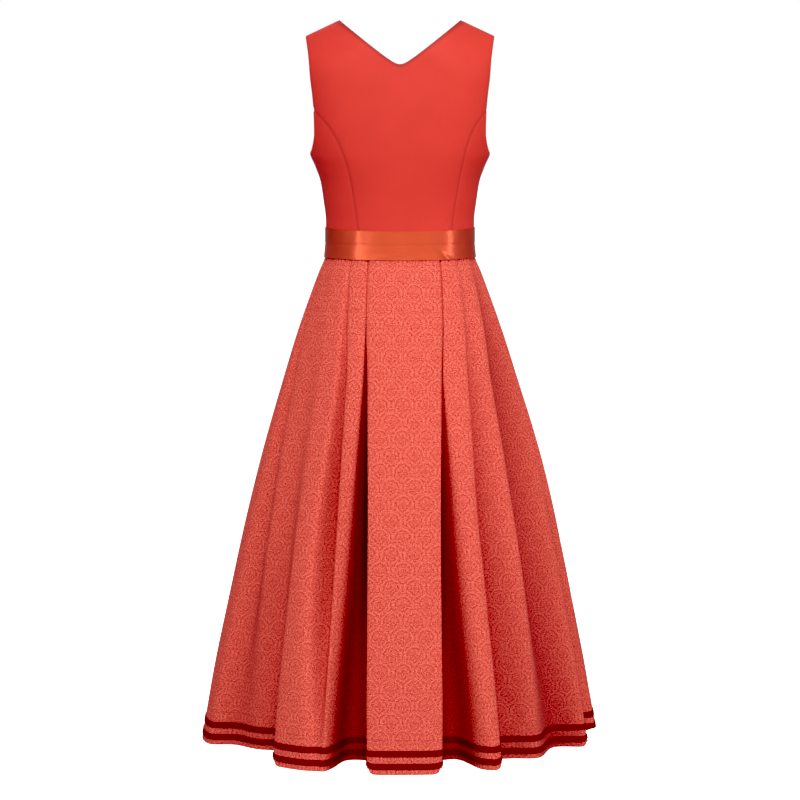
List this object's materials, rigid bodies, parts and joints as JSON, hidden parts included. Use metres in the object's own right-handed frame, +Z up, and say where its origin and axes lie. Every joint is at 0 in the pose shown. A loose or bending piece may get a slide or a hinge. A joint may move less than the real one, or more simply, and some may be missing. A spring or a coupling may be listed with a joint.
{
  "type": "dirndl dress",
  "caption": "Sleeveless dirndl dress in its hollow worn shape: princess-seamed bodice with V neck, ribbon sash and pleated patterned skirt with velvet bands above the hem.",
  "frame": {"origin": "midway between the two shoulder seams, at the middle of their height, where the wearer's shoulders carry the dress", "axes": "+Z up along the wearer's body, -Y the way the wearer faces, so +Y is the back of the dress, +X the wearer's left"},
  "size_m": [0.6965, 0.637, 1.258],
  "materials": {
    "bodice_crepe": "smooth crepe with a slight sheen",
    "skirt_jacquard": "matt tone-on-tone jacquard weave",
    "sash_satin": "glossy satin ribbon",
    "velvet": "deep short-pile velvet ribbon"
  },
  "bodies": {
    "root": {"bodice_back": "bodice_crepe", "bodice_side_back_left": "bodice_crepe", "bodice_side_back_right": "bodice_crepe", "bodice_side_front_left": "bodice_crepe", "bodice_side_front_right": "bodice_crepe", "bodice_front_left": "bodice_crepe", "bodice_front_right": "bodice_crepe", "skirt_back": "skirt_jacquard", "skirt_front": "skirt_jacquard", "sash": "sash_satin", "velvet_ribbon_upper": "velvet", "velvet_ribbon_lower": "velvet"}
  },
  "joints": []
}
